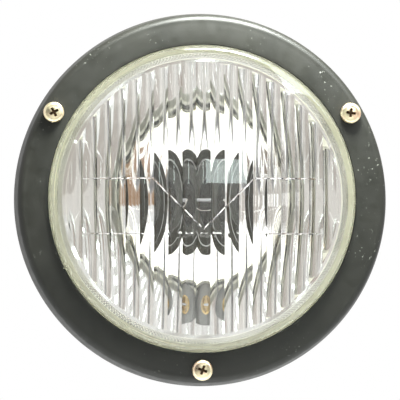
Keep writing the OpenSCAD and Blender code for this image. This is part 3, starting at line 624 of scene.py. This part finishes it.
# Glass: domed outside, upright flutes inside, a knurled ring round them
glassSize = {"flange": 77.0, "seat": 22.83, "flangeFront": 27.77, "outer": 73.6, "shoulder": 3.5,
             "crown": 240.0, "apex": 45.0, "cavity": 69.6, "roof": 30.46, "field": 65.3, "thick": 4.0,
             "chamfer": 0.3, "cavityChamfer": 0.4, "over": 1.0, "flutes": 19, "pitch": 6.75,
             "flute": 8.0, "fluteSteps": 12, "spareSwing": 1, "rows": 60, "shoulderSteps": 14,
             "domeSteps": 24, "steps": 288, "smooth": 28}
ridgeSize = {"height": 0.3, "width": 0.75, "upper": 9.3, "lower": -17.0, "vee": -15.0, "veeHalf": 24.3,
             "lineHalf": 57.0, "near": 0.01}


# Moulded lines: the air's fluted face is split along each line and at its sides, and the middle
# sinks into the air, so that the glass stands proud
def raiseLines(air):
    s = ridgeSize
    right, veeRight = (s["lineHalf"], s["upper"]), (s["veeHalf"], s["upper"])
    left, veeLeft = (-right[0], right[1]), (-veeRight[0], veeRight[1])
    foot = (0, s["vee"])
    ends = [(left, veeLeft), (veeRight, right), (veeLeft, foot), (foot, veeRight),
            ((-s["lineHalf"], s["lower"]), (s["lineHalf"], s["lower"]))]
    lines = []
    for (x, z), (farX, farZ) in ends:
        long = math.hypot(farX - x, farZ - z)
        lines.append((x, z, (farX - x) / long, (farZ - z) / long, long))
    useOnly(air)
    bpy.ops.object.mode_set(mode="EDIT")
    for x, z, wayX, wayZ, long in lines:
        for shift in (-s["width"] / 2, 0, s["width"] / 2):
            bpy.ops.mesh.select_all(action="SELECT")
            bpy.ops.mesh.bisect(plane_co=((x - wayZ * shift) * mm, 0, (z + wayX * shift) * mm),
                                plane_no=(-wayZ, 0, wayX))
    bpy.ops.mesh.select_all(action="DESELECT")
    bpy.ops.object.mode_set(mode="OBJECT")
    found = 0
    for point in air.data.vertices:
        for x, z, wayX, wayZ, long in lines:
            gapX, gapZ = point.co.x / mm - x, point.co.z / mm - z
            along, across = gapX * wayX + gapZ * wayZ, gapZ * wayX - gapX * wayZ
            if 0 <= along <= long and abs(across) < s["near"] and point.co.y < -glassSize["roof"] * mm:
                point.select = True
                found += 1
    bpy.ops.object.mode_set(mode="EDIT")
    bpy.ops.transform.translate(value=(0, s["height"] * mm, 0))
    bpy.ops.object.mode_set(mode="OBJECT")
    print("stage: moulded lines raised at", found, "points")


# The air under the flutes: their section stands across the lamp and swings about the crown's centre
def makeFlutes():
    s = glassSize
    centre = s["apex"] - s["crown"]
    half = s["pitch"] / 2
    valley = math.sqrt(s["flute"] ** 2 - half ** 2)
    fieldHalf = s["flutes"] * half
    edge = s["field"] + s["over"]
    inner = s["crown"] - s["thick"]
    low = s["roof"] - 2 * s["over"]

    def roofAt(x):
        return centre + math.sqrt(inner ** 2 - x ** 2)

    core = [(-edge, low), (-edge, roofAt(edge))]
    for flute in range(s["flutes"]):
        for k in range(s["fluteSteps"]):
            t = half * (2 * k / s["fluteSteps"] - 1)
            x = -fieldHalf + half * (2 * flute + 1) + t
            core.append((x, roofAt(x) - (math.sqrt(s["flute"] ** 2 - t ** 2) - valley)))
    core += [(fieldHalf, roofAt(fieldHalf)), (edge, roofAt(edge)), (edge, low)]
    swing = 2 * math.degrees(math.asin(edge / (low - centre))) + s["spareSwing"]
    pivot = (0, -centre * mm, 0)
    fluted = drawLine("flutedAir", core, close=False)
    bpy.ops.mesh.edge_face_add()
    bpy.ops.transform.rotate(value=math.radians(-swing / 2), orient_axis="X", center_override=pivot)
    bpy.ops.mesh.spin(steps=s["rows"], angle=math.radians(swing), center=pivot, axis=(1, 0, 0))
    closeShape(fluted)
    field = rodCutter(s["field"], s["roof"] - s["over"], s["apex"] + s["over"], sides=s["steps"])
    cut(fluted, field, "INTERSECT")
    return fluted


def makeGlass():
    s = glassSize
    bevel, hollow = s["chamfer"], s["cavityChamfer"]
    centre = s["apex"] - s["crown"]
    place = s["outer"] - s["shoulder"]
    lean = math.degrees(math.asin(place / (s["crown"] - s["shoulder"])))
    level = centre + math.sqrt((s["crown"] - s["shoulder"]) ** 2 - place ** 2)
    outside = [(s["flange"] - bevel, s["seat"]), (s["flange"], s["seat"] + bevel),
               (s["flange"], s["flangeFront"] - bevel), (s["flange"] - bevel, s["flangeFront"]),
               (s["outer"], s["flangeFront"])]
    outside += arcLine(place, level, s["shoulder"], 0, 90 - lean, s["shoulderSteps"])
    slopes = [math.radians(lean * k / s["domeSteps"]) for k in range(s["domeSteps"] - 1, -1, -1)]
    dome = [(s["crown"] * math.sin(a), centre + s["crown"] * math.cos(a)) for a in slopes]
    inside = [(0, s["roof"]), (s["cavity"] - hollow, s["roof"]), (s["cavity"], s["roof"] - hollow),
              (s["cavity"], s["seat"])]
    glass = turnPiece("lensGlass", inside + outside + dome, s["steps"], close=False)
    air = makeFlutes()
    raiseLines(air)
    cut(glass, air)
    smooth(glass, s["smooth"])
    finishPiece(glass, lampGlass, "lamp_glass", "light_unit", "lens")


makeGlass()
print("stage: glass pressed")


# Globes of the bulb, blown round its neck, and of the side light
globeSize = {"centre": 5.05, "r": 18.0, "wall": 0.45, "neck": 11.2, "foot": -25.65, "neckFall": 1.5,
             "neckLean": 4, "arcSteps": 30, "steps": 96, "smooth": 50}
sideGlobeSize = {"r": 4.05, "wall": 0.6, "foot": -12.8, "base": 1.2, "tip": -0.93, "drop": 50.0,
                 "arcSteps": 14, "steps": 48, "smooth": 50}


def makeGlobe():
    s = globeSize
    lean = math.degrees(math.asin(s["neck"] / s["r"]))
    first = lean - 90 + s["neckLean"]
    neckTop = s["centre"] - s["r"] * math.cos(math.radians(lean)) - s["neckFall"]
    throat = s["neck"] - s["wall"]
    outer = [(s["neck"], s["foot"]), (s["neck"], neckTop)]
    outer += arcLine(0, s["centre"], s["r"], first, 90, s["arcSteps"])
    inner = arcLine(0, s["centre"], s["r"] - s["wall"], 90, first, s["arcSteps"])
    inner += [(throat, neckTop), (throat, s["foot"])]
    globe = turnPiece("globeGlass", outer + inner, s["steps"])
    smooth(globe, s["smooth"])
    finishPiece(globe, bulbGlass, "bulb_glass", "light_unit", "bulb_globe")


def makeSideGlobe():
    s = sideGlobeSize
    bore = s["r"] - s["wall"]
    outer = [(0, s["foot"]), (s["r"], s["foot"])] + arcLine(0, s["tip"], s["r"], 0, 90, s["arcSteps"])
    inner = arcLine(0, s["tip"], bore, 90, 0, s["arcSteps"])
    inner += [(bore, s["foot"] + s["base"]), (0, s["foot"] + s["base"])]
    globe = turnPiece("sideGlobeGlass", outer + inner, s["steps"], close=False)
    settle(globe, 0, -s["drop"])
    smooth(globe, s["smooth"])
    finishPiece(globe, bulbGlass, "bulb_glass", "side_light", "sidelight_globe")


makeGlobe()
makeSideGlobe()


# Dip shield: a scoop of thin sheet whose sides fall away towards the back
shieldSize = {"r": 5.45, "sheet": 0.35, "x": 1.0, "low": 7.55, "high": 15.55, "edge": -0.55,
              "scoop": 4.6, "box": (14, 12, 10), "steps": 64, "smooth": 40}


def makeShield():
    s = shieldSize
    bore, box = s["r"] - s["sheet"], s["box"]
    line = [(s["r"], s["low"]), (s["r"], s["high"]), (bore, s["high"]), (bore, s["low"])]
    shield = turnPiece("dipScoop", line, s["steps"])
    settle(shield, s["x"])
    deselect()
    middle = (s["x"] * mm, -(s["low"] + s["high"]) / 2 * mm, (s["edge"] + box[2] / 2) * mm)
    bpy.ops.mesh.primitive_cube_add(size=mm, location=middle)
    upper = bpy.context.object
    upper.scale = box
    bpy.ops.object.transform_apply(location=True, rotation=True, scale=True)
    cut(shield, upper)
    deselect()
    bpy.ops.mesh.primitive_cylinder_add(
        vertices=s["steps"], radius=s["scoop"] * mm, depth=box[0] * mm, rotation=(0, math.pi / 2, 0),
        location=(s["x"] * mm, -s["low"] * mm, s["edge"] * mm))
    bpy.ops.object.transform_apply(location=True, rotation=True, scale=True)
    cut(shield, bpy.context.object)
    smooth(shield, s["smooth"])
    finishPiece(shield, brightShield, "bright_steel", "light_unit", "dip_shield")


def makeRetainerSpring():
    spring = makeSpring("retainerSpringWire", retainerSpringSize)
    finishPiece(spring, springWire, "spring_steel", "light_unit", "retainer_spring")


makeShield()
makeRetainerSpring()
print("stage: bulbs blown")


# Bowl: drawn steel, its flange rolled over, holes for the panel screws, the bushes and the rivet
bowlSize = {"r": 73.5, "sheet": 1.2, "flange": 88.0, "low": 1.5, "straight": 20.0, "round": 52.0,
            "flat": 26.0, "grommet": 7.55, "frontRound": 0.4, "backRound": 0.3, "mouthRound": 0.8,
            "mouthPoint": (0.25, 0.2), "panelHole": 2.75, "panelCircle": 80.0, "bushHole": 4.15,
            "drill": (-2, 6), "rivetHole": 1.55, "rivetHigh": 18, "rivetDrill": (-75, -64),
            "steps": 256, "rings": 24, "smooth": 35}


def makeBowl():
    s = bowlSize

    def wall(r, depth):
        last = math.acos(s["flat"] / r)
        angles = [last * k / s["rings"] for k in range(s["rings"] + 1)]
        return [(r * math.cos(a), -s["straight"] - depth * math.sin(a)) for a in angles]

    outside = wall(s["r"] + s["sheet"], s["round"] + s["sheet"])
    inside = wall(s["r"], s["round"])
    low, high = s["low"], s["low"] + s["sheet"]
    line = [(s["flange"] - s["frontRound"], high), (s["flange"], high - s["frontRound"]),
            (s["flange"], low + s["backRound"]), (s["flange"] - s["backRound"], low),
            (s["r"] + s["sheet"], low)]
    line += outside + [(s["grommet"], outside[-1][1]), (s["grommet"], inside[-1][1])] + inside[::-1]
    line += [(s["r"], high - s["mouthRound"]), (s["r"] + s["mouthPoint"][0], high - s["mouthPoint"][1]),
             (s["r"] + s["mouthRound"], high)]
    bowl = turnPiece("bowlShell", line, s["steps"])
    for angles, circle, hole in ((panelAngles, s["panelCircle"], s["panelHole"]),
                                 (screwAngles, screwCircle, s["bushHole"])):
        for angle in angles:
            cut(bowl, rodCutter(hole, *s["drill"], *screwPlace(angle, circle)))
    cut(bowl, rodCutter(s["rivetHole"], *s["rivetDrill"], 0, s["rivetHigh"]))
    smooth(bowl, s["smooth"])
    finishPiece(bowl, bowlEnamel, "bowl_paint", "housing", "bowl")


makeBowl()


# Grommet: soft rubber, every edge rounded
grommetSize = {"bore": 3.5, "neck": 7.5, "lip": 10.0, "inner": -66.14, "front": -68.64, "back": -69.87,
               "outer": -72.37, "soft": 0.8, "softSteps": 5, "steps": 96, "smooth": 50}


def makeGrommet():
    s = grommetSize
    soft = s["soft"]
    bore, lip = s["bore"] + soft, s["lip"] - soft
    inner, outer = s["inner"] - soft, s["outer"] + soft

    def corner(r, z, start, end):
        return arcLine(r, z, soft, start, end, s["softSteps"])

    line = [(bore, s["inner"]), (lip, s["inner"])] + corner(lip, inner, 90, 0)[1:]
    line += [(s["lip"], s["front"]), (s["neck"], s["front"])]
    line += [(s["neck"], s["back"]), (s["lip"], s["back"])]
    line += corner(lip, outer, 0, -90) + [(bore, s["outer"])]
    line += corner(bore, outer, -90, -180)[1:] + corner(bore, inner, 180, 90)[:-1]
    grommet = turnPiece("grommetRubber", line, s["steps"])
    smooth(grommet, s["smooth"])
    finishPiece(grommet, blackRubber, "rubber", "housing", "cable_grommet")


makeGrommet()
print("stage: bowl and grommet made")


# Studio: a white room, with cards at the sides and in front for the reflector to show
def makeCard(name, size, centre, look, colour, strength=0.0):
    deselect()
    bpy.ops.mesh.primitive_plane_add(size=1, location=centre)
    card = bpy.context.object
    card.name = name
    card.scale = (size[0], size[1], 1)
    way = Vector(look) - Vector(centre)
    card.rotation_euler = way.to_track_quat("Z", "Y").to_euler()
    bpy.ops.object.transform_apply(location=True, rotation=True, scale=True)
    material, _, shader, _ = startFinish(name + " paper")
    shader.inputs["Base Color"].default_value = (*colour, 1)
    shader.inputs["Roughness"].default_value = 0.9
    shader.inputs["Specular IOR Level"].default_value = 0.0
    if strength:
        shader.inputs["Emission Color"].default_value = (*colour, 1)
        shader.inputs["Emission Strength"].default_value = strength
        shader.inputs["Base Color"].default_value = (0, 0, 0, 1)
    card.data.materials.append(material)
    return card


def aimed(azimuth, elevation, distance):
    a, e = math.radians(azimuth), math.radians(elevation)
    flat = distance * math.cos(e)
    return Vector((flat * math.sin(a), -flat * math.cos(a), distance * math.sin(e)))


def seenOrMirrored(tree, hidden, shown):
    ray = tree.nodes.new("ShaderNodeLightPath")
    seen = ray.outputs["Is Camera Ray"]
    for kind in ("Is Glossy Ray", "Is Transmission Ray"):
        seen = mathOn(tree, "MAXIMUM", seen, ray.outputs[kind])
    level = tree.nodes.new("ShaderNodeMapRange")
    level.inputs["To Min"].default_value = hidden
    level.inputs["To Max"].default_value = shown
    tree.links.new(seen, level.inputs["Value"])
    return level.outputs["Result"]


# World and floor glow more in rays that are seen, mirrored or refracted than in those that light the
# piece, so that the floor ends without an edge and still keeps its shadow
glowSize = {"floor": 0.42, "worldHidden": 0.6, "worldSeen": 1.0}
floor = makeCard("floor", (6, 6), (0, 0, -0.4), (0, 0, 1), (0.9, 0.9, 0.9))
floorTree = floor.data.materials[0].node_tree
floorShader = floorTree.nodes["Principled BSDF"]
floorShader.inputs["Emission Color"].default_value = (1, 1, 1, 1)
floorGlow = seenOrMirrored(floorTree, 0.0, glowSize["floor"])
floorTree.links.new(floorGlow, floorShader.inputs["Emission Strength"])

# Each card: size, centre, the point it faces, colour, strength, and whether it shows in what is seen
# through the glass, or else in the glossy surfaces alone
cards = {
    "paperAbove": ((3.0, 2.2), (0, -0.5, 0.7), (0, -0.5, 0), (1.0, 1.0, 1.0), 2.4, True),
    "paperBelow": ((1.5, 0.9), (0, -0.3, -0.395), (0, -0.3, 1), (1.0, 1.0, 1.0), 2.4, True),
    "rightTable": ((0.44, 0.42), (0.45, -0.28, -0.165),
                   (0, -0.28, -0.165), (0.46, 0.28, 0.16), 1.0, True),
    "leftTable": ((0.36, 0.18), (-0.45, -0.28, -0.275),
                  (0, -0.28, -0.275), (0.30, 0.24, 0.19), 1.0, True),
    "leftWall": ((0.36, 0.36), (-0.47, -0.28, -0.005),
                 (0, -0.28, -0.005), (0.66, 0.62, 0.58), 1.0, True),
    "leftWindow": ((0.09, 0.07), (-0.44, -0.16, 0.01), (0, -0.16, 0.01), (1.0, 1.0, 1.0), 2.0, True),
    "frontRoom": ((1.8, 0.3), (0.0, -1.6, -0.25), (0, 0, -0.25), (0.62, 0.57, 0.53), 1.0, True),
    "frontBand": ((1.2, 0.03), (0.0, -1.55, 0.06), (0, 0, 0.06), (0.45, 0.35, 0.3), 1.0, True),
    "paleRoom": ((1.8, 0.12), (0.0, -1.61, -0.05), (0, 0, -0.05), (0.93, 0.9, 0.87), 1.0, True),
    "darkRoom": ((3.0, 1.8), (0.0, -1.8, 0.0), (0, 0, 0), (0.03, 0.03, 0.03), 1.0, False),
}
for cardName, (size, centre, look, colour, strength, throughGlass) in cards.items():
    card = makeCard(cardName, size, centre, look, colour, strength)
    card.visible_camera = False
    card.visible_shadow = False
    card.visible_diffuse = False
    card.visible_transmission = throughGlass
    card.visible_glossy = not throughGlass

world = bpy.data.worlds.new("white room")
bpy.context.scene.world = world
world.use_nodes = True
tree = world.node_tree
sky = tree.nodes["Background"]
sky.inputs["Color"].default_value = (1, 1, 1, 1)
skyGlow = seenOrMirrored(tree, glowSize["worldHidden"], glowSize["worldSeen"])
tree.links.new(skyGlow, sky.inputs["Strength"])

# Each lamp: azimuth, elevation, distance, width, height, radiance, colour
lampSize = {
    "rimLamp": (20, 63, 0.34, 0.14, 0.08, 210.0, (0.96, 1.0, 0.95)),
    "keyLamp": (42, 42, 1.4, 0.7, 0.7, 9.0, (0.92, 1.0, 1.0)),
    "flashLamp": (9, 8.7, 1.3, 0.232, 0.137, 8.0, (0.86, 1.0, 0.97)),
}
for lampName, (azimuth, elevation, distance, width, height, strength, colour) in lampSize.items():
    deselect()
    where = aimed(azimuth, elevation, distance)
    bpy.ops.object.light_add(type="AREA", location=where)
    lamp = bpy.context.object
    lamp.name = lampName
    lamp.data.shape = "RECTANGLE"
    lamp.data.size = width
    lamp.data.size_y = height
    lamp.data.energy = strength * math.pi * width * height
    lamp.data.color = colour
    lamp.rotation_euler = (-where).to_track_quat("-Z", "Y").to_euler()
    lamp.visible_camera = False
    lamp.visible_transmission = lampName != "rimLamp"

cameraSize = {"azimuth": -3.5, "elevation": -2.2, "distance": 3.0, "aim": (-0.0006, -0.022, -0.0004),
              "width": 0.1927, "sensor": 36, "near": 0.01, "far": 50}
back = aimed(cameraSize["azimuth"], cameraSize["elevation"], 1)
deselect()
bpy.ops.object.camera_add(location=Vector(cameraSize["aim"]) + back * cameraSize["distance"])
camera = bpy.context.object
camera.rotation_euler = (-back).to_track_quat("-Z", "Y").to_euler()
camera.data.sensor_width = cameraSize["sensor"]
camera.data.lens = cameraSize["sensor"] * cameraSize["distance"] / cameraSize["width"]
camera.data.clip_start = cameraSize["near"]
camera.data.clip_end = cameraSize["far"]
bpy.context.scene.camera = camera
bpy.context.scene.view_settings.view_transform = "Standard"
print("stage: studio set")
